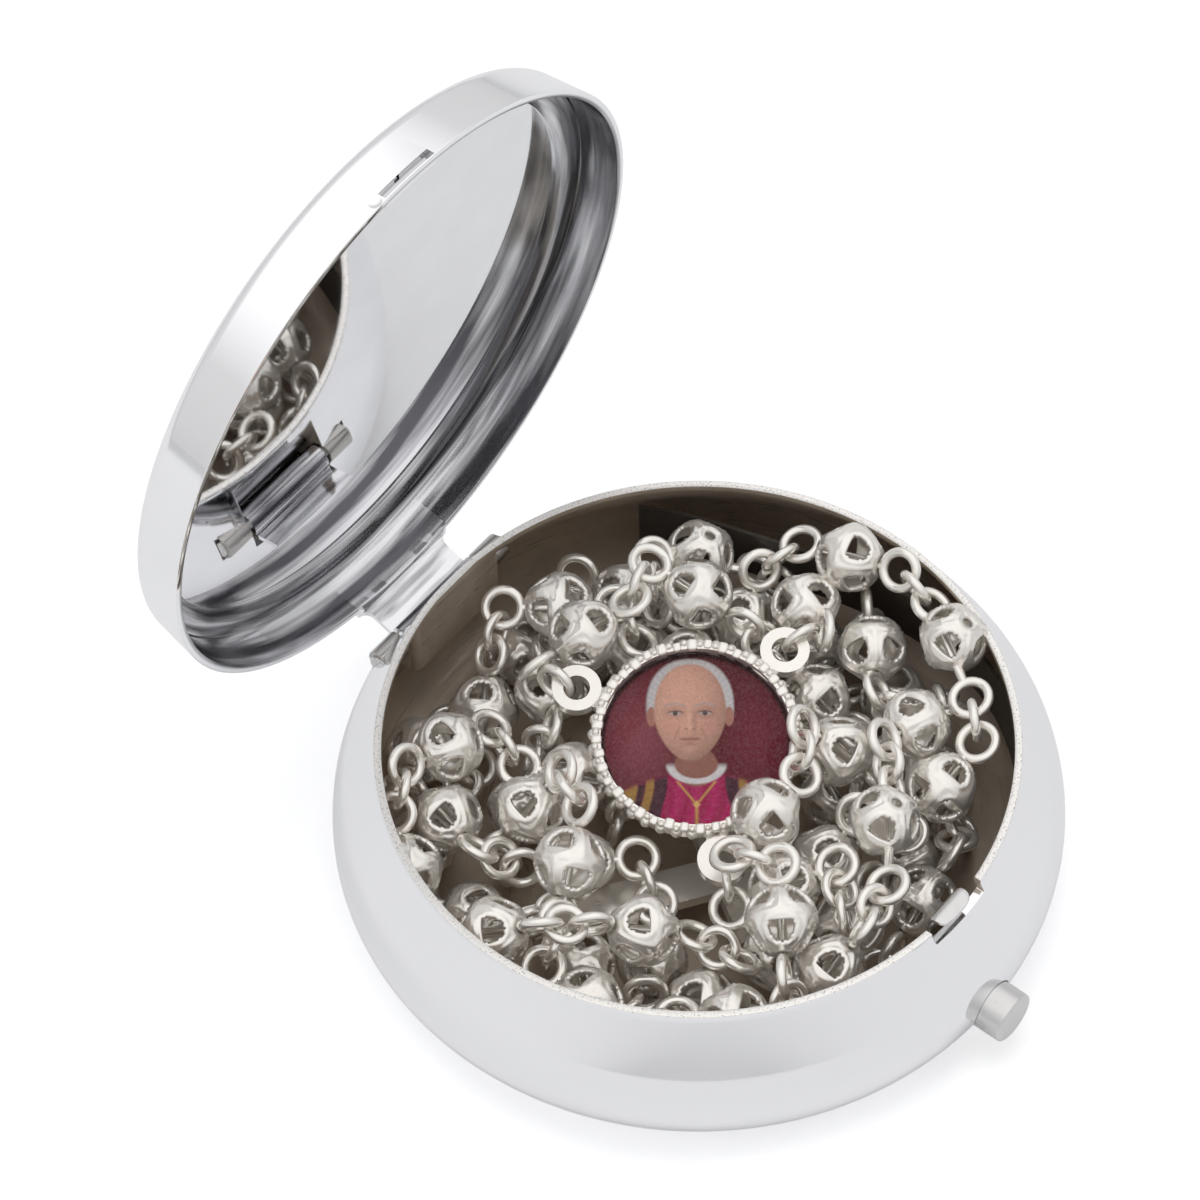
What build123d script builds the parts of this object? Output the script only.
from build123d import *
import copy
import math
import os

import numpy as np

# Round sheet-metal keepsake box, lid standing open, with a rosary coiled inside it.
# Millimetres. Origin: middle of the flat bottom. +Z up, -Y front (push button), +Y hinge.

# Base shell
base_foot_radius = 22.95
base_belly_radius = 28.85
base_belly_height = 5.0
base_shoulder_arc = 9.0
base_rim_radius = 25.1
base_neck_height = 13.9
base_height = 14.3
base_wall = 0.6
notch_width = 6.1
notch_bottom_height = 13.2

# Hinge
hinge_y = 26.4
hinge_height = 9.6
barrel_radius = 1.1
barrel_bore_radius = 0.6
barrel_width = 9.0
pin_clearance = 0.05
knuckle_length = 2.65
knuckle_gap = 0.35
pin_head_radius = 0.75
pin_head_length = 0.3
pocket_floor_y = 25.0
pocket_bottom_height = 8.1
pocket_side_clearance = 0.25
lid_open_angle = 85.0

# Lid, written in its closed place
lid_rim_height = 13.55
lid_rim_inner_radius = 25.5
lid_rim_outer_radius = 26.2
lid_skirt_height = 3.7
lid_skirt_top_radius = 25.65
lid_depth = 5.0
lid_corner_radius = 1.3
lid_sheet = 0.35
lid_crease_height = 3.47
lid_crease_radius = 25.15
plate_radius = 24.0
plate_visible_radius = 22.94
plate_depth = 4.41
ring_lip = 0.22
ring_gap = 0.08
tab_lean = 17.4
tab_sheet = 0.45
tab_root_flare = 0.9
tab_root_height = 0.85
catch_width = 5.4
catch_height = 0.85
catch_rim_radius = 25.1
catch_inner_radius = 24.65
catch_groove_low = 0.25
catch_groove_height = 0.5
catch_groove_radius = 25.55
catch_pocket_radius = 25.8
catch_pocket_height = 1.15
catch_dimple_radius = 1.3
catch_dimple_depth = 0.22
catch_dimple_x = -3.5
catch_dimple_rise = 0.75

# Latch
button_radius = 2.1
button_height = 4.2
button_face_y = -30.9
button_clearance = 0.08
button_edge = 0.25
button_flange_radius = 2.6
button_flange = 0.5
stem_radius = 0.7
rivet_radius = 1.2
rivet_head = 0.3
hook_y = -24.3
hook_sheet = 0.4
hook_width = 3.6
hook_middle_x = -0.5
hook_bottom_height = 2.0
hook_lip_height = 14.65
hook_lip_reach = 1.3
hook_lip_droop = 0.12
hook_bend_radius = 0.45
spring_band_height = 5.2
spring_band_bottom = 5.0
spring_band_sheet = 0.3
spring_band_bow = ((41.0, 26.0), (60.0, 23.4), (86.0, 23.0), (115.0, 24.9), (140.0, 25.3), (162.0, 25.0))
spring_band_front_x = -2.6

# Rosary chain
bead_radius = 2.8
bead_sheet = 0.42
bead_window_radius = 0.78
bead_window_latitude = 36.0
bead_windows_around = 4
bead_hole_clearance = 0.02
bead_seam_width = 0.5
bead_seam_height = 0.07
wire_radius = 0.34
eye_radius = 1.45
eye_neck = 0.25
link_wire_radius = 0.32
link_radius = 1.4
eye_to_link = 1.95
lug_to_link = 1.85
decades = 5
beads_per_decade = 10
pendant_beads = 5

# Medal
medal_middle = (1.3, 1.2, 11.4)
medal_facing = -49.24
medal_tilt = 11.0
medal_roll = 9.0
medal_frame_radius = 7.9
medal_recess_radius = 7.45
medal_frame_depth = 2.0
medal_frame_floor = 0.5
medal_bead_radius = 0.5
medal_beads = 40
medal_pearl_circle = 7.98
medal_picture_sheet = 0.3
medal_dome_edge = 0.6
medal_dome_rise = 1.0
lug_angles = (54.0, -54.0, 180.0)
lug_distance = 10.3
lug_outer_radius = 1.95
lug_hole_radius = 1.05
lug_sheet = 1.0
lug_neck_width = 1.8
lug_neck_sheet = 0.8

# Crucifix
cross_top = (3.2, -9.2, 2.9)
cross_foot = (-17.2, 3.2, 5.0)
cross_half_span = 6.6
cross_bar_width = 3.2
cross_bar_depth = 1.4
cross_bar_at = 8.4
cross_edge = 0.35
cross_loop_sheet = 0.7
cross_loop_hole_radius = 1.25
figure_depth = 0.75

# Resting places of the upper beads, seen from above
seen_beads = (
    (13.5, 12.0), (-2.0, 18.0), (-10.5, 18.0), (-3.5, 13.0), (-13.0, 11.0),
    (-17.5, 12.0), (-8.5, 8.5), (-15.0, 0.5), (-11.0, -3.5), (-18.5, -5.0),
    (-10.0, -11.5), (-13.0, -15.0), (-2.0, -15.5), (1.5, -19.5), (6.0, -11.5),
    (12.0, -6.5), (18.0, -3.5), (17.0, -9.5), (11.0, -15.5), (-5.0, -20.0),
    (7.0, 15.5), (9.5, -20.0),
)
seen_bead_height = 9.6
heap_gap = 0.07
heap_good = 0.09
heap_shakes = 7
heap_noise = 1.0
heap_top = 16.3
wall_gap = 0.15
strip_keep_angle = 34.0
strip_keep_radius = 22.7
hinge_keep_width = 8.3
hinge_keep_y = 23.9
hook_keep_width = 3.4
hook_keep_y = -21.4


def arc_tangent_angle():
    across = base_rim_radius - (base_belly_radius - base_shoulder_arc)
    rise = base_neck_height - base_belly_height
    return math.atan2(rise, across) - math.acos(base_shoulder_arc / math.hypot(across, rise))


def body_face(inset):
    """Half profile of the base, drawn inset from its outside."""
    angle = arc_tangent_angle()
    arc_middle = base_belly_radius - base_shoulder_arc
    arc = base_shoulder_arc - inset
    lean_x = arc_middle + arc * math.cos(angle)
    lean_z = base_belly_height + arc * math.sin(angle)
    top_x = base_rim_radius - inset
    top_z = lean_z + (lean_x - top_x) / math.tan(angle)
    foot = Line((0, inset), (base_foot_radius, inset))
    low = EllipticalCenterArc(
        (base_foot_radius, base_belly_height),
        base_belly_radius - base_foot_radius - inset,
        base_belly_height - inset,
        -90,
        arc_size=90,
    )
    shoulder = CenterArc((arc_middle, base_belly_height), arc, 0, math.degrees(angle))
    lean = Line((lean_x, lean_z), (top_x, top_z))
    lip_top = base_height + (1 if inset else 0)
    lip = Line((top_x, top_z), (top_x, lip_top))
    over = Line((top_x, lip_top), (0, lip_top))
    axis = Line((0, lip_top), (0, inset))
    return Plane.XZ * make_face(foot + low + shoulder + lean + lip + over + axis)


def inner_radius(height):
    """Radius of the base's inside at a height."""
    angle = arc_tangent_angle()
    arc_middle = base_belly_radius - base_shoulder_arc
    arc = base_shoulder_arc - base_wall
    below = np.clip((base_belly_height - height) / (base_belly_height - base_wall), 0, 1)
    low = base_foot_radius + (base_belly_radius - base_foot_radius - base_wall) * np.sqrt(1 - below ** 2)
    rise = np.clip(height - base_belly_height, 0, arc)
    middle = arc_middle + np.sqrt(arc ** 2 - rise ** 2)
    lean_x = arc_middle + arc * math.cos(angle)
    lean_z = base_belly_height + arc * math.sin(angle)
    lean = np.maximum(lean_x - (height - lean_z) * math.tan(angle), base_rim_radius - base_wall)
    return np.where(height < base_belly_height, low, np.where(height < lean_z, middle, lean))


def block(x, y, z):
    """Box between pairs of low and high limits."""
    size = (x[1] - x[0], y[1] - y[0], z[1] - z[0])
    return Pos((x[0] + x[1]) / 2, (y[0] + y[1]) / 2, (z[0] + z[1]) / 2) * Box(*size)


def rod(start, end, radius):
    start = Vector(*start)
    end = Vector(*end)
    plane = Plane(origin=(start + end) / 2, z_dir=end - start)
    return plane * Cylinder(radius, (end - start).length)


def turned(points):
    return revolve(Plane.XZ * make_face(Polyline(*points, close=True)), Axis.Z)


def make_base():
    outer = revolve(body_face(0), Axis.Z)
    inner = revolve(body_face(base_wall), Axis.Z)
    half = barrel_width / 2 + pocket_side_clearance
    pan = outer & block(
        (-half - base_wall, half + base_wall),
        (pocket_floor_y - base_wall, base_belly_radius + 1),
        (pocket_bottom_height - base_wall, base_height),
    )
    shell = (outer - inner) + pan
    outside = base_belly_radius + 1
    shell -= block((-half, half), (pocket_floor_y, outside), (pocket_bottom_height, base_height + 1))
    reach = barrel_width / 2 + knuckle_gap + knuckle_length
    reach += pin_head_length + pin_clearance
    for side in (-1, 1):
        start = (side * half, hinge_y, hinge_height)
        shell -= rod(start, (side * reach, hinge_y, hinge_height), barrel_radius)
    notch = (-notch_width / 2, notch_width / 2)
    shell -= block(notch, (-base_rim_radius - 1, -20), (notch_bottom_height, base_height + 1))
    hole = rod((0, -outside, button_height), (0, -20, button_height), button_radius + button_clearance)
    return shell - hole


def make_knuckle(side):
    start = barrel_width / 2 + knuckle_gap
    ends = [(side * (start + step), hinge_y, hinge_height) for step in (0, knuckle_length)]
    return rod(*ends, barrel_radius) - rod(*ends, barrel_bore_radius - pin_clearance)


def make_hinge_pin():
    reach = barrel_width / 2 + knuckle_gap + knuckle_length
    radius = barrel_bore_radius - pin_clearance
    pin = rod((-reach, hinge_y, hinge_height), (reach, hinge_y, hinge_height), radius)
    for side in (-1, 1):
        start = (side * reach, hinge_y, hinge_height)
        pin += rod(start, (side * (reach + pin_head_length), hinge_y, hinge_height), pin_head_radius)
    return pin


def opened(shape):
    """Turn a lid piece from its closed place to its open rest."""
    return shape.rotate(Axis((0, hinge_y, hinge_height), (1, 0, 0)), -lid_open_angle)


def lid_hollow():
    """The room inside the lid's sheet."""
    top = lid_rim_height + lid_depth - lid_sheet
    return turned((
        (0, lid_rim_height - 1),
        (lid_rim_inner_radius, lid_rim_height - 1),
        (lid_rim_inner_radius, lid_rim_height),
        (lid_crease_radius, lid_rim_height + lid_crease_height),
        (lid_crease_radius - lid_corner_radius + lid_sheet, top),
        (0, top),
    ))


def make_tab():
    """Hinge tab from the skirt down to the rolled barrel."""
    lean = math.radians(tab_lean)
    along = Vector(0, -math.sin(lean), math.cos(lean))
    out = Vector(0, math.cos(lean), math.sin(lean))
    middle = Vector(0, hinge_y, hinge_height)
    start = middle + out * barrel_radius
    root_z = lid_rim_height + tab_root_height
    root = start + along * ((root_z - start.Z) / along.Z)
    rim = start + along * ((lid_rim_height - start.Z) / along.Z)
    inner_rim = rim - out * tab_sheet
    profile = Polyline(
        (start.Y, start.Z),
        (root.Y, root_z),
        (catch_inner_radius, root_z),
        (catch_inner_radius, lid_rim_height),
        (inner_rim.Y, inner_rim.Z),
        ((start - out * tab_sheet).Y, (start - out * tab_sheet).Z),
        close=True,
    )
    wide = barrel_width + 2 * tab_root_flare
    side_cut = extrude(Plane.YZ * make_face(profile), wide / 2, both=True)
    half = barrel_width / 2
    flare = Polyline((-half, hinge_height - 2), (half, hinge_height - 2)) + Line(
        (half, hinge_height - 2), (half, lid_rim_height - tab_root_flare)
    )
    flare += CenterArc((half + tab_root_flare, lid_rim_height - tab_root_flare), tab_root_flare, 90, 90)
    flare += Polyline(
        (half + tab_root_flare, lid_rim_height),
        (half + tab_root_flare, root_z + 1),
        (-half - tab_root_flare, root_z + 1),
        (-half - tab_root_flare, lid_rim_height),
    )
    flare += CenterArc((-half - tab_root_flare, lid_rim_height - tab_root_flare), tab_root_flare, 0, 90)
    flare += Line((-half, lid_rim_height - tab_root_flare), (-half, hinge_height - 2))
    front_cut = extrude(Plane.XZ * make_face(flare), -base_belly_radius - 5)
    tab = (side_cut & front_cut) - lid_hollow()
    ends = ((-half, hinge_y, hinge_height), (half, hinge_y, hinge_height))
    return tab + rod(*ends, barrel_radius), rod(*ends, barrel_bore_radius)


def make_lid():
    top = lid_rim_height + lid_depth
    edge = lid_rim_height + lid_skirt_height
    corner_start = (lid_skirt_top_radius, edge)
    corner_end = (lid_skirt_top_radius - lid_corner_radius, top)
    outline = Polyline((0, lid_rim_height), (lid_rim_outer_radius, lid_rim_height), corner_start)
    outline += RadiusArc(corner_start, corner_end, -lid_corner_radius)
    outline += Polyline(corner_end, (0, top), (0, lid_rim_height))
    lid = revolve(Plane.XZ * make_face(outline), Axis.Z) - lid_hollow()
    tab, bore = make_tab()
    lid = lid + tab - bore
    ledge_top = lid_rim_height + catch_height
    wide = (-catch_width / 2, catch_width / 2)
    lean = catch_rim_radius - catch_inner_radius
    ledge = turned((
        (catch_inner_radius, lid_rim_height + lean),
        (catch_rim_radius, lid_rim_height),
        (lid_rim_inner_radius + 0.2, lid_rim_height),
        (lid_rim_inner_radius + 0.2, ledge_top),
        (catch_inner_radius, ledge_top),
    )) & block(wide, (-lid_rim_outer_radius, -20), (lid_rim_height, ledge_top))
    pocket = turned((
        (lid_crease_radius - 1, ledge_top),
        (catch_pocket_radius, ledge_top),
        (catch_pocket_radius, ledge_top + catch_pocket_height),
        (lid_crease_radius - 1, ledge_top + catch_pocket_height),
    )) & block(wide, (-lid_rim_outer_radius, -20), (lid_rim_height, lid_rim_height + lid_depth))
    lid = lid + ledge - pocket
    groove_low = lid_rim_height + catch_groove_low
    groove = turned((
        (catch_groove_radius, groove_low),
        (lid_rim_outer_radius + 1, groove_low),
        (lid_rim_outer_radius + 1, groove_low + catch_groove_height),
        (catch_groove_radius, groove_low + catch_groove_height),
    )) & block(wide, (-lid_rim_outer_radius - 1, -20), (lid_rim_height, lid_rim_height + lid_depth))
    dimple_y = -math.sqrt(lid_rim_outer_radius ** 2 - catch_dimple_x ** 2)
    dimple_y -= catch_dimple_radius - catch_dimple_depth
    dimple = Pos(catch_dimple_x, dimple_y, lid_rim_height + catch_dimple_rise) * Sphere(catch_dimple_radius)
    return opened(lid - groove - dimple)


def make_mirror_plate():
    bottom = lid_rim_height + plate_depth
    thick = lid_depth - lid_sheet - plate_depth
    return opened(Pos(0, 0, bottom + thick / 2) * Cylinder(plate_radius, thick))


def make_mirror_ring():
    """Rounded band that holds the mirror plate and meets the skirt in a crease."""
    plate = lid_rim_height + plate_depth
    crease = lid_rim_height + lid_crease_height
    inner = (plate_visible_radius, plate - ring_lip)
    outer = (lid_crease_radius - ring_gap, crease)
    band = RadiusArc(inner, outer, -(plate - crease) * 2.2)
    band += Polyline(
        outer,
        (lid_crease_radius - ring_gap - 0.1, crease + 0.1),
        (plate_radius - 0.1, plate),
        (plate_visible_radius, plate),
        inner,
    )
    return opened(revolve(Plane.XZ * make_face(band), Axis.Z))


def make_hook():
    """Flat upright with a lip that bends outward over the lid's ledge."""
    back = hook_y + hook_sheet
    tip = hook_y - hook_lip_reach
    top = hook_lip_height + hook_sheet
    line = Polyline(
        (hook_y, hook_bottom_height),
        (back, hook_bottom_height),
        (back, top - hook_bend_radius),
    )
    line += CenterArc((back - hook_bend_radius, top - hook_bend_radius), hook_bend_radius, 0, 90)
    line += Polyline(
        (back - hook_bend_radius, top),
        (tip, top - hook_lip_droop),
        (tip, hook_lip_height - hook_lip_droop / 2),
        (hook_y, hook_lip_height),
        (hook_y, hook_bottom_height),
    )
    plate = extrude(Plane.YZ * make_face(line), hook_width / 2, both=True)
    plate = Pos(hook_middle_x, 0, 0) * plate
    hole = rod((0, hook_y - 1, button_height), (0, back + 1, button_height), stem_radius)
    return plate - hole


def make_button():
    face = Vector(0, button_face_y, button_height)
    button = rod(face, (0, hook_y - spring_band_sheet, button_height), button_radius)
    end = button.faces().sort_by(Axis.Y)[0]
    button = chamfer(end.edges(), button_edge)
    flange_y = hook_y - spring_band_sheet
    flange_start = (0, flange_y - button_flange, button_height)
    button += rod(flange_start, (0, flange_y, button_height), button_flange_radius)
    stem_end = hook_y + hook_sheet
    return button + rod((0, flange_y, button_height), (0, stem_end, button_height), stem_radius)


def make_rivet():
    start = hook_y + hook_sheet
    return rod((0, start, button_height), (0, start + rivet_head, button_height), rivet_radius)


def make_spring_band():
    """Leaf spring: one bent band standing on edge, from the hook round the right side."""
    face_y = hook_y - spring_band_sheet / 2
    places = []
    for angle, radius in spring_band_bow:
        turn = math.radians(angle)
        places.append((radius * math.sin(turn), radius * math.cos(turn)))
    places.append((hook_middle_x + hook_width / 2, face_y))
    bow = Spline(*places, tangents=((0.55, -0.84), (-1, 0)))
    flat = Line(places[-1], (spring_band_front_x, face_y))
    band = Pos(0, 0, spring_band_bottom) * extrude(
        trace(bow + flat, spring_band_sheet), spring_band_height, dir=(0, 0, 1)
    )
    return band, bow.length + flat.length


def medal_frame_axes():
    """Unit vectors of the medal: across, up and out of its face."""
    facing = math.radians(medal_facing)
    tilt = math.radians(medal_tilt)
    roll = math.radians(medal_roll)
    toward = np.array([math.sin(facing), -math.cos(facing), 0.0])
    out = toward * math.sin(tilt) + np.array([0.0, 0.0, math.cos(tilt)])
    across = np.cross([0.0, 0.0, 1.0], toward)
    up = np.cross(out, across)
    turned_up = up * math.cos(roll) - across * math.sin(roll)
    return np.cross(turned_up, out), turned_up, out


def lug_place(angle, distance=lug_distance):
    across, up, out = medal_frame_axes()
    turn = math.radians(angle)
    return np.array(medal_middle) + distance * (up * math.cos(turn) + across * math.sin(turn))


def medal_plane():
    across, up, out = medal_frame_axes()
    return Plane(origin=medal_middle, x_dir=tuple(across), z_dir=tuple(out))


def make_medal_frame():
    low = -medal_frame_depth / 2
    high = medal_frame_depth / 2
    frame = turned((
        (0, low),
        (medal_frame_radius - 0.4, low),
        (medal_frame_radius, low + 0.4),
        (medal_frame_radius, high - 0.2),
        (medal_frame_radius - 0.15, high),
        (medal_recess_radius, high),
        (medal_recess_radius, low + medal_frame_floor),
        (0, low + medal_frame_floor),
    ))
    neck_start = medal_frame_radius - 0.5
    neck_end = lug_distance - lug_hole_radius - 0.3
    for angle in lug_angles:
        place = Rot(0, 0, 90 - angle) * Pos(lug_distance, 0, 0)
        neck = Box(neck_end - neck_start, lug_neck_width, lug_neck_sheet)
        neck = Rot(0, 0, 90 - angle) * Pos((neck_start + neck_end) / 2, 0, 0) * neck
        frame += place * Cylinder(lug_outer_radius, lug_sheet)
        frame += neck
        frame -= place * Cylinder(lug_hole_radius, lug_sheet + 1)
    # each pearl's poles lie along the radius, so that the frame swallows one of them
    pearls = []
    for number in range(medal_beads):
        place = Rot(0, 0, 360 * (number + 0.5) / medal_beads)
        place = place * Pos(medal_pearl_circle, 0, high - medal_bead_radius) * Rot(0, 90, 0)
        pearls.append(place * Sphere(medal_bead_radius))
    return medal_plane() * (frame + pearls)


def make_medal_picture():
    low = -medal_frame_depth / 2 + medal_frame_floor
    sheet = Cylinder(medal_recess_radius, medal_picture_sheet)
    return medal_plane() * (Pos(0, 0, low + medal_picture_sheet / 2) * sheet)


def make_medal_dome():
    low = -medal_frame_depth / 2 + medal_frame_floor + medal_picture_sheet
    edge = low + medal_dome_edge
    outline = Polyline((0, low), (medal_recess_radius, low), (medal_recess_radius, edge))
    bow = (medal_recess_radius ** 2 + medal_dome_rise ** 2) / (2 * medal_dome_rise)
    outline += RadiusArc((medal_recess_radius, edge), (0, edge + medal_dome_rise), -bow)
    outline += Line((0, edge + medal_dome_rise), (0, low))
    return medal_plane() * revolve(Plane.XZ * make_face(outline), Axis.Z)


def cross_axes():
    top = np.array(cross_top)
    foot = np.array(cross_foot)
    along = (top - foot) / np.linalg.norm(top - foot)
    side = np.cross([0.0, 0.0, 1.0], along)
    side = side / np.linalg.norm(side)
    return side, along, np.cross(side, along)


def cross_length():
    return float(np.linalg.norm(np.array(cross_top) - np.array(cross_foot)))


def cross_plane():
    side, along, out = cross_axes()
    return Plane(origin=cross_foot, x_dir=tuple(side), z_dir=tuple(out))


def make_crucifix():
    length = cross_length() - lug_outer_radius
    arm_y = length - cross_bar_at + cross_bar_width
    outline = Pos(0, (length + lug_sheet) / 2) * Rectangle(cross_bar_width, length + lug_sheet)
    outline += Pos(0, arm_y) * Rectangle(2 * cross_half_span, cross_bar_width)
    low = -cross_bar_depth / 2
    cross = Pos(0, 0, low) * extrude(outline, cross_bar_depth - cross_edge)
    cross += Pos(0, 0, low + cross_bar_depth - cross_edge) * extrude(outline, cross_edge, taper=45)
    place = Pos(0, cross_length(), 0)
    cross = cross + place * Cylinder(lug_outer_radius, cross_loop_sheet)
    return cross_plane() * (cross - place * Cylinder(cross_loop_hole_radius, cross_loop_sheet + 1))


def make_figure():
    """Small plain figure with spread arms, lying on the cross."""
    low = cross_bar_depth / 2
    arm_y = cross_length() - lug_outer_radius - cross_bar_at + cross_bar_width
    hip_y = arm_y - 4.2
    foot_y = arm_y - 9.6
    torso = rod((0, arm_y + 0.7, low), (0, hip_y, low), 1.0) + Pos(0, hip_y, low) * Sphere(1.0)
    legs = Plane(origin=(0, (hip_y + foot_y) / 2, low), z_dir=(0, 1, 0)) * Cone(0.5, 0.85, hip_y - foot_y)
    arms = rod((-cross_half_span + 1.2, arm_y + 0.4, low), (cross_half_span - 1.2, arm_y + 0.4, low), 0.42)
    head = Pos(0, arm_y + 1.5, low + 0.1) * Sphere(0.95)
    figure = torso + legs + arms + head
    return cross_plane() * (figure & Pos(0, arm_y - 5, low + 5) * Box(40, 40, 10))


def bead_reach():
    return bead_radius + eye_neck + eye_radius


def chain_layout():
    """List the balls that stand for beads, eyes, links and fixed pieces, and how they join."""
    balls = []
    rods = []
    joints = []

    def add(kind, place, radius, fixed=False):
        balls.append((kind, np.array(place, float), radius, fixed))
        return len(balls) - 1

    for angle in lug_angles:
        add("lug", lug_place(angle), lug_outer_radius, True)
    add("lug", cross_top, lug_outer_radius, True)
    for ring, count in ((0.0, 1), (2.3, 6), (4.6, 12), (6.9, 18)):
        for number in range(count):
            lift = medal_frame_axes()[2] * (medal_dome_rise / 2 if ring < 5 else 0.1)
            add("fixed", lug_place(360.0 * number / count, ring) + lift, 1.5, True)
    side, along, out = cross_axes()
    arm_at = cross_length() - lug_outer_radius - cross_bar_at + cross_bar_width
    half = cross_bar_width / 2 - 1.0
    for across in (-half, half):
        for step in range(13):
            place = np.array(cross_foot) + along * (1.0 + (cross_length() - 4.5) * step / 12.0)
            add("fixed", place + side * across + out * 0.15, 1.15, True)
        for step in (-5.5, -4.0, -2.5, 2.5, 4.0, 5.5):
            place = np.array(cross_foot) + along * (arm_at + across) + side * step
            add("fixed", place + out * 0.15, 1.15, True)

    def strand(first, last, path, lead, end_lead):
        before = first
        ring = link_radius + link_wire_radius
        link = add("link", balls[first][1] + lead * lug_to_link, ring, True)
        for number in range(len(path)):
            place = path[number]
            step = path[min(number + 1, len(path) - 1)] - path[max(number - 1, 0)]
            step = step / np.linalg.norm(step)
            eye_in = add("eye", place - step * bead_reach(), eye_radius + wire_radius)
            bead = add("bead", place, bead_radius)
            eye_out = add("eye", place + step * bead_reach(), eye_radius + wire_radius)
            if number:
                link = add("link", (balls[before][1] + balls[eye_in][1]) / 2, ring)
            rods.append((eye_in, bead, eye_out))
            joints.append((before, link, eye_in))
            before = eye_out
        link = add("link", balls[last][1] + end_lead * lug_to_link, ring, True)
        joints.append((before, link, last))

    def outward(angle, dip):
        lead = lug_place(angle, 1.0) - np.array(medal_middle)
        lead = lead - np.array([0.0, 0.0, dip])
        return lead / np.linalg.norm(lead)

    cross_lead = along + np.array([0.0, 0.0, 0.3])
    strand(0, 1, loop_path(), outward(lug_angles[0], 0.1), outward(lug_angles[1], 0.1))
    strand(2, 3, pendant_path(), outward(lug_angles[2], 0.15), cross_lead / np.linalg.norm(cross_lead))
    return balls, rods, joints


def loop_path():
    """First guess of the main loop: waves that run round outside the medal."""
    places = []
    total = decades * beads_per_decade + decades - 1
    for number in range(total):
        part = number / (total - 1)
        turn = 2 * math.pi * 4.15 * part - 0.25
        radius = 17.0 + 4.0 * math.cos(2 * math.pi * 9 * part)
        height = 9.5 + 1.5 * math.cos(2 * math.pi * 7 * part)
        places.append(np.array([radius * math.cos(turn), radius * math.sin(turn), height]))
    return places


def pendant_path():
    places = []
    for number in range(pendant_beads):
        turn = math.radians(-118 + 30 * number)
        places.append(np.array([15.5 * math.cos(turn), 15.5 * math.sin(turn), 10.0 - 1.2 * number]))
    return places


def keep_inside(place, radius):
    """Push balls back from the shell, the spring band, the hinge and the hook."""
    place[:, 2] = np.clip(place[:, 2], base_wall + radius + wall_gap, heap_top - radius)
    lean = np.linspace(-math.pi / 3, 4 * math.pi / 9, 8)[:, None]
    wall = inner_radius(place[:, 2] + radius * np.sin(lean)) - radius * np.cos(lean)
    limit = wall.min(axis=0)
    angle = np.degrees(np.arctan2(place[:, 0], place[:, 1]))
    band = angle > strip_keep_angle
    low = place[:, 2] - radius < spring_band_bottom + spring_band_height
    limit = np.where(band & low, np.minimum(limit, strip_keep_radius - radius), limit)
    distance = np.hypot(place[:, 0], place[:, 1]) + 1e-9
    scale = np.minimum(1.0, (limit - wall_gap) / distance)
    place[:, 0] *= scale
    place[:, 1] *= scale
    near_hinge = np.abs(place[:, 0]) < hinge_keep_width + radius
    place[:, 1] = np.where(near_hinge, np.minimum(place[:, 1], hinge_keep_y - radius), place[:, 1])
    near_hook = np.abs(place[:, 0] - hook_middle_x) < hook_keep_width
    place[:, 1] = np.where(near_hook, np.maximum(place[:, 1], hook_keep_y + radius), place[:, 1])


def near_pairs(place, first, second, reach, spare):
    gap = np.linalg.norm(place[second] - place[first], axis=1)
    near = gap < reach + spare
    return first[near], second[near], reach[near]


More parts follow.
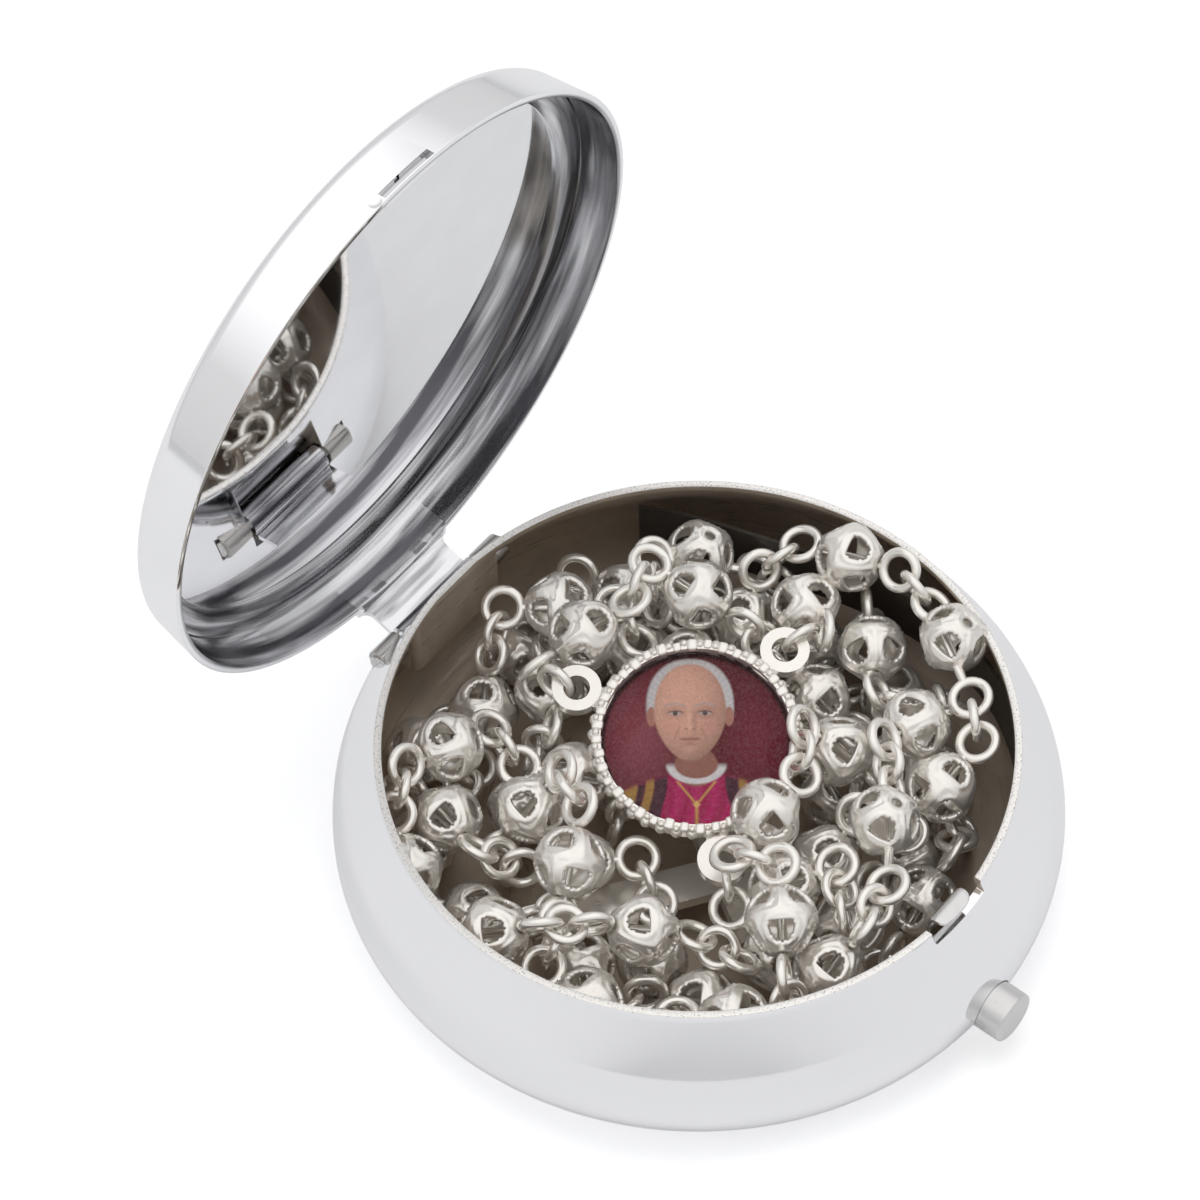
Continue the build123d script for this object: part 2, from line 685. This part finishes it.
def settle(balls, rods, joints):
    """Let the chain sink into the base until nothing overlaps and every link keeps its length."""
    kind = np.array([ball[0] for ball in balls])
    place = np.array([ball[1] for ball in balls])
    radius = np.array([ball[2] for ball in balls])
    loose = ~np.array([ball[3] for ball in balls])
    count = len(balls)
    reach = bead_reach()
    ties = []
    eyes_in, middles, eyes_out = np.array(rods).T
    for before, link, after in joints:
        one = lug_to_link if kind[before] == "lug" else eye_to_link
        two = lug_to_link if kind[after] == "lug" else eye_to_link
        ties += [(before, link, one), (link, after, two)]
        if loose[link]:
            ties.append((before, after, one + two))
    tie_a = np.array([tie[0] for tie in ties])
    tie_b = np.array([tie[1] for tie in ties])
    tie_length = np.array([tie[2] for tie in ties])
    share = np.maximum(loose[tie_a] * 1.0 + loose[tie_b], 1e-9)
    rows = np.arange(len(tie_a))
    tie_part = np.zeros((len(tie_a), count))
    tie_part[rows, tie_a] = loose[tie_a] / share
    tie_part[rows, tie_b] = -(loose[tie_b] / share)
    tie_hits = np.bincount(np.concatenate((tie_a, tie_b)), minlength=count)
    inner = [joint for joint in joints if loose[joint[1]]]
    ends_a, mids, ends_b = np.array(inner).T
    joined = np.zeros((count, count), bool)
    joined[tie_a, tie_b] = True
    joined[eyes_in, middles] = True
    joined[middles, eyes_out] = True
    joined[eyes_in, eyes_out] = True
    joined |= joined.T
    first, second = np.triu_indices(count, 1)
    free = ~joined[first, second] & (loose[first] | loose[second])
    first, second = first[free], second[free]
    apart = radius[first] + radius[second] + heap_gap
    weight = loose.astype(float)
    beads = np.flatnonzero(kind == "bead")
    wanted = np.array([(x, y, seen_bead_height) for x, y in seen_beads])

    def relax(steps, sink, pull, size_from, size_to):
        nonlocal place
        for step in range(steps):
            fade = 1 - step / steps
            size = size_to + (size_from - size_to) * fade
            if step % 8 == 0:
                pair_a, pair_b, pair_gap = near_pairs(place, first, second, apart, 1.6)
            place[loose, 2] -= sink
            if pull:
                taken = set()
                for spot in wanted:
                    order = np.argsort(np.linalg.norm(place[beads] - spot, axis=1))
                    best = next(int(bead) for bead in order if int(bead) not in taken)
                    taken.add(best)
                    move = spot - place[beads[best]]
                    move[2] += sink
                    far = np.linalg.norm(move)
                    place[beads[best]] += move * min(1.0, 2.0 / (far + 1e-9)) * pull
            for sweep in range(3):
                line = place[tie_b] - place[tie_a]
                length = np.linalg.norm(line, axis=1) + 1e-9
                push = line * ((length - tie_length) / length)[:, None]
                shift = tie_part.T @ push
                line = place[pair_b] - place[pair_a]
                length = np.linalg.norm(line, axis=1) + 1e-9
                wide = pair_gap * np.where(loose[pair_a] & loose[pair_b], size, 1.0)
                touch = length < wide
                one, two = pair_a[touch], pair_b[touch]
                share = weight[one] + weight[two]
                push = line[touch] * ((length[touch] - wide[touch]) / length[touch] / share)[:, None]
                push = np.concatenate((push * weight[one][:, None], -push * weight[two][:, None]))
                both = np.concatenate((one, two))
                hits = tie_hits + np.bincount(both, minlength=count)
                moved = [np.bincount(both, push[:, axis], count) for axis in range(3)]
                shift = shift + np.stack(moved, axis=1)
                place = place + shift / np.maximum(hits, 1)[:, None] * 1.35
                held = place[~loose].copy()
                keep_inside(place, radius)
                place[~loose] = held
                middle = (place[eyes_in] + place[middles] + place[eyes_out]) / 3
                way = place[eyes_out] - place[eyes_in]
                way = way / np.linalg.norm(way, axis=1)[:, None] * reach
                place[eyes_in], place[middles], place[eyes_out] = middle - way, middle, middle + way
                bow = place[mids] - (place[ends_a] + place[ends_b]) / 2
                place[mids] -= bow / 2
                place[ends_a] += bow / 2 * weight[ends_a][:, None]
                place[ends_b] += bow / 2 * weight[ends_b][:, None]

    def worst():
        line = place[second] - place[first]
        overlap = float(np.max(apart - np.linalg.norm(line, axis=1)))
        stretch = float(np.max(np.abs(np.linalg.norm(place[tie_b] - place[tie_a], axis=1) - tie_length)))
        return overlap - heap_gap, stretch

    relax(1200, 0.01, 0.05, 0.25, 1.0)
    relax(600, 0.01, 0.02, 1.0, 1.0)
    for shake in range(heap_shakes):
        for spell in range(5):
            relax(600, 0.0, 0.0, 1.0, 1.0)
            if max(worst()) < heap_good:
                break
        print("heap: shake", shake, "worst overlap and stretch", [round(value, 3) for value in worst()])
        if max(worst()) < heap_good or shake == heap_shakes - 1:
            break
        place[loose] += heap_noise * np.sin(3.1 * place[loose] + shake)[:, [1, 2, 0]]
        relax(500, 0.0, 0.0, 0.3, 1.0)
    return place


def unit(vector):
    return vector / max(float(np.linalg.norm(vector)), 1e-9)


def make_bead_shape():
    """Hollow openwork bead, its hole along Z."""
    inner = bead_radius - bead_sheet
    bead = Sphere(bead_radius)
    band = turned((
        (inner, -bead_seam_width / 2),
        (bead_radius + bead_seam_height, -bead_seam_width / 2),
        (bead_radius + bead_seam_height, bead_seam_width / 2),
        (inner, bead_seam_width / 2),
    ))
    bead = (bead + band) - Sphere(inner)
    for half in (-1, 1):
        for number in range(bead_windows_around):
            turn = 2 * math.pi * (number + 0.25 * half) / bead_windows_around
            rise = math.radians(half * bead_window_latitude)
            way = (math.cos(rise) * math.cos(turn), math.cos(rise) * math.sin(turn), math.sin(rise))
            out = tuple(2 * bead_radius * part for part in way)
            bead -= rod((0, 0, 0), out, bead_window_radius)
    return bead - Cylinder(wire_radius + bead_hole_clearance, 3 * bead_radius)


def standing(shape, middle, way, cross):
    """Copy of a shape with its Z along a direction and its X near another."""
    side = unit(cross - way * float(np.dot(cross, way)))
    plane = Plane(origin=tuple(middle), x_dir=tuple(side), z_dir=tuple(way))
    return copy.copy(shape).moved(plane.location)


def ring_points(middle, normal, radius):
    """Points round a circle, to measure gaps with."""
    side = unit(np.cross(normal, [0.31, 0.83, 0.46]))
    other = np.cross(normal, side)
    turn = np.linspace(0, 2 * math.pi, 31)[:-1, None]
    return middle + radius * (np.cos(turn) * side + np.sin(turn) * other)


def least_gap(one, two):
    return float(np.min(np.linalg.norm(one[:, None, :] - two[None, :, :], axis=2)))


def turn_rings(place, kind, rods, joints):
    """Face every eye and link so that each joint has the most room."""
    axis_of = {}
    for eye_in, bead, eye_out in rods:
        way = unit(place[eye_out] - place[eye_in])
        axis_of[eye_in] = way
        axis_of[eye_out] = way
    across, up, out = medal_frame_axes()
    normal_of = {0: out, 1: out, 2: out, 3: cross_axes()[2]}
    steps = [math.radians(10 * step) for step in range(18)]
    tightest = 9.0
    for before, link, after in joints:
        line = unit(place[after] - place[before])
        choices = []
        wide = "lug" in (kind[before], kind[after])
        leans = (0.0, 0.35, -0.35, 0.7, -0.7) + ((1.05, -1.05, 1.4, -1.4) if wide else ())
        for eye in (before, after):
            if kind[eye] == "lug":
                choices.append([normal_of[eye]])
                continue
            bend = np.cross(axis_of[eye], line)
            if np.linalg.norm(bend) < 0.15:
                bend = np.cross(axis_of[eye], [0.1, 0.2, 1.0])
            first = unit(bend)
            second = np.cross(axis_of[eye], first)
            choices.append([first * math.cos(a) + second * math.sin(a) for a in leans])
        side = unit(np.cross(line, [0.12, 0.25, 1.0]))
        other = np.cross(line, side)
        link_choices = [side * math.cos(a) + other * math.sin(a) for a in steps]
        link_rings = [ring_points(place[link], normal, link_radius) for normal in link_choices]
        best = (-1.0, None)
        lug_middle = (lug_outer_radius + lug_hole_radius) / 2
        radii = [lug_middle if kind[eye] == "lug" else eye_radius for eye in (before, after)]
        spare = [lug_sheet / 2 - wire_radius if kind[eye] == "lug" else 0.0 for eye in (before, after)]
        for one in choices[0]:
            one_ring = ring_points(place[before], one, radii[0])
            for two in choices[1]:
                two_ring = ring_points(place[after], two, radii[1])
                for number, ring in enumerate(link_rings):
                    room = min(least_gap(one_ring, ring) - spare[0], least_gap(two_ring, ring) - spare[1])
                    if room > best[0] + 0.01:
                        best = (room, one, two, link_choices[number])
        tightest = min(tightest, best[0] - wire_radius - link_wire_radius)
        normal_of[before], normal_of[after], normal_of[link] = best[1:]
    print("chain: least gap in a joint", round(tightest, 3))
    return axis_of, normal_of


def make_chain():
    balls, rods, joints = chain_layout()
    place = settle(balls, rods, joints)
    kind = [ball[0] for ball in balls]
    axis_of, normal_of = turn_rings(place, kind, rods, joints)
    bead_shape = make_bead_shape()
    eye_ring = Torus(eye_radius, wire_radius)
    link_ring = Torus(link_radius, link_wire_radius)
    links = []
    for before, link, after in joints:
        line = unit(place[after] - place[before])
        links.append(standing(link_ring, place[link], normal_of[link], line))
    beads = []
    pins = []
    for eye_in, bead, eye_out in rods:
        way = axis_of[eye_in]
        middle = place[bead]
        beads.append(standing(bead_shape, middle, way, normal_of[eye_in]))
        far = bead_reach() - eye_radius
        pin = rod(middle - way * far, middle + way * far, wire_radius)
        for sign, eye in ((-1, eye_in), (1, eye_out)):
            pin += standing(eye_ring, middle + sign * way * bead_reach(), normal_of[eye], way)
        pins.append(pin)
    return beads, pins, links


def chain_groups(beads, pins, links):
    """Sort the chain's pieces into decades, larger-prayer beads and the pendant."""
    groups = {}
    start = 0
    for decade in range(decades):
        groups["decade_%d_beads" % (decade + 1)] = beads[start:start + beads_per_decade]
        groups["decade_%d_pins" % (decade + 1)] = pins[start:start + beads_per_decade]
        groups["decade_%d_links" % (decade + 1)] = links[start:start + beads_per_decade]
        start += beads_per_decade
        if decade < decades - 1:
            groups.setdefault("spacer_beads", []).append(beads[start])
            groups.setdefault("spacer_pins", []).append(pins[start])
            groups.setdefault("spacer_links", []).append(links[start])
            start += 1
    groups["spacer_links"].append(links[start])
    groups["pendant_beads"] = beads[start:]
    groups["pendant_pins"] = pins[start:]
    groups["pendant_links"] = links[start + 1:]
    return groups


def save(name, shapes):
    if not isinstance(shapes, (list, tuple)):
        shapes = [shapes]
    solids = [solid for shape in shapes for solid in shape.solids()]
    whole = solids[0] if len(solids) == 1 else Compound(children=solids)
    whole.label = name
    export_step(whole, os.path.join("parts", name + ".step"))
    print(name, len(solids), "solids", round(sum(solid.volume for solid in solids), 2), "mm3")


os.makedirs("parts", exist_ok=True)
save("base_shell", make_base())
save("hinge_knuckle_left", make_knuckle(-1))
save("hinge_knuckle_right", make_knuckle(1))
save("hinge_pin", make_hinge_pin())
save("lid_shell", make_lid())
save("lid_mirror_plate", make_mirror_plate())
save("lid_mirror_ring", make_mirror_ring())
save("latch_hook", make_hook())
save("push_button", make_button())
save("button_rivet", make_rivet())
band, band_length = make_spring_band()
save("latch_spring", band)
print("spring band length", round(band_length, 2))
save("medal_frame", make_medal_frame())
save("medal_picture", make_medal_picture())
save("medal_dome", make_medal_dome())
save("crucifix", make_crucifix())
save("crucifix_figure", make_figure())
for group, pieces in chain_groups(*make_chain()).items():
    save(group, pieces)
